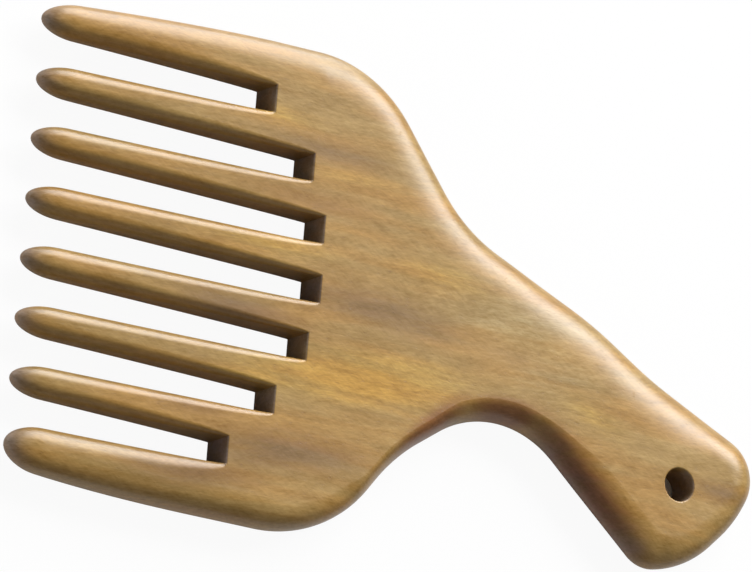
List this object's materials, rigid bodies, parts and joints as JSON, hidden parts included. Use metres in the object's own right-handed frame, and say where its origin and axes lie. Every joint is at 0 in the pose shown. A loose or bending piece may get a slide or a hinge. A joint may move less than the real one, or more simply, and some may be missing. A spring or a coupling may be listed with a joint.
{
  "type": "wide-tooth comb",
  "caption": "Flat wooden hair comb: wide gaps between tapered round-tipped teeth, a rounded head, and a waisted handle that leans down to a round hanging hole.",
  "frame": {"origin": "centre of the hanging hole, halfway through the board", "axes": "+X along the teeth from their tips towards the handle, +Y across the teeth from the bottom tooth to the top tooth, +Z out of the front face"},
  "size_m": [0.1903, 0.109, 0.009],
  "materials": {
    "wood": "satin, hand-polished and oiled"
  },
  "bodies": {
    "root": {"head": "wood", "handle": "wood", "tooth_1": "wood", "tooth_2": "wood", "tooth_3": "wood", "tooth_4": "wood", "tooth_5": "wood", "tooth_6": "wood", "tooth_7": "wood", "tooth_8": "wood"}
  },
  "joints": []
}
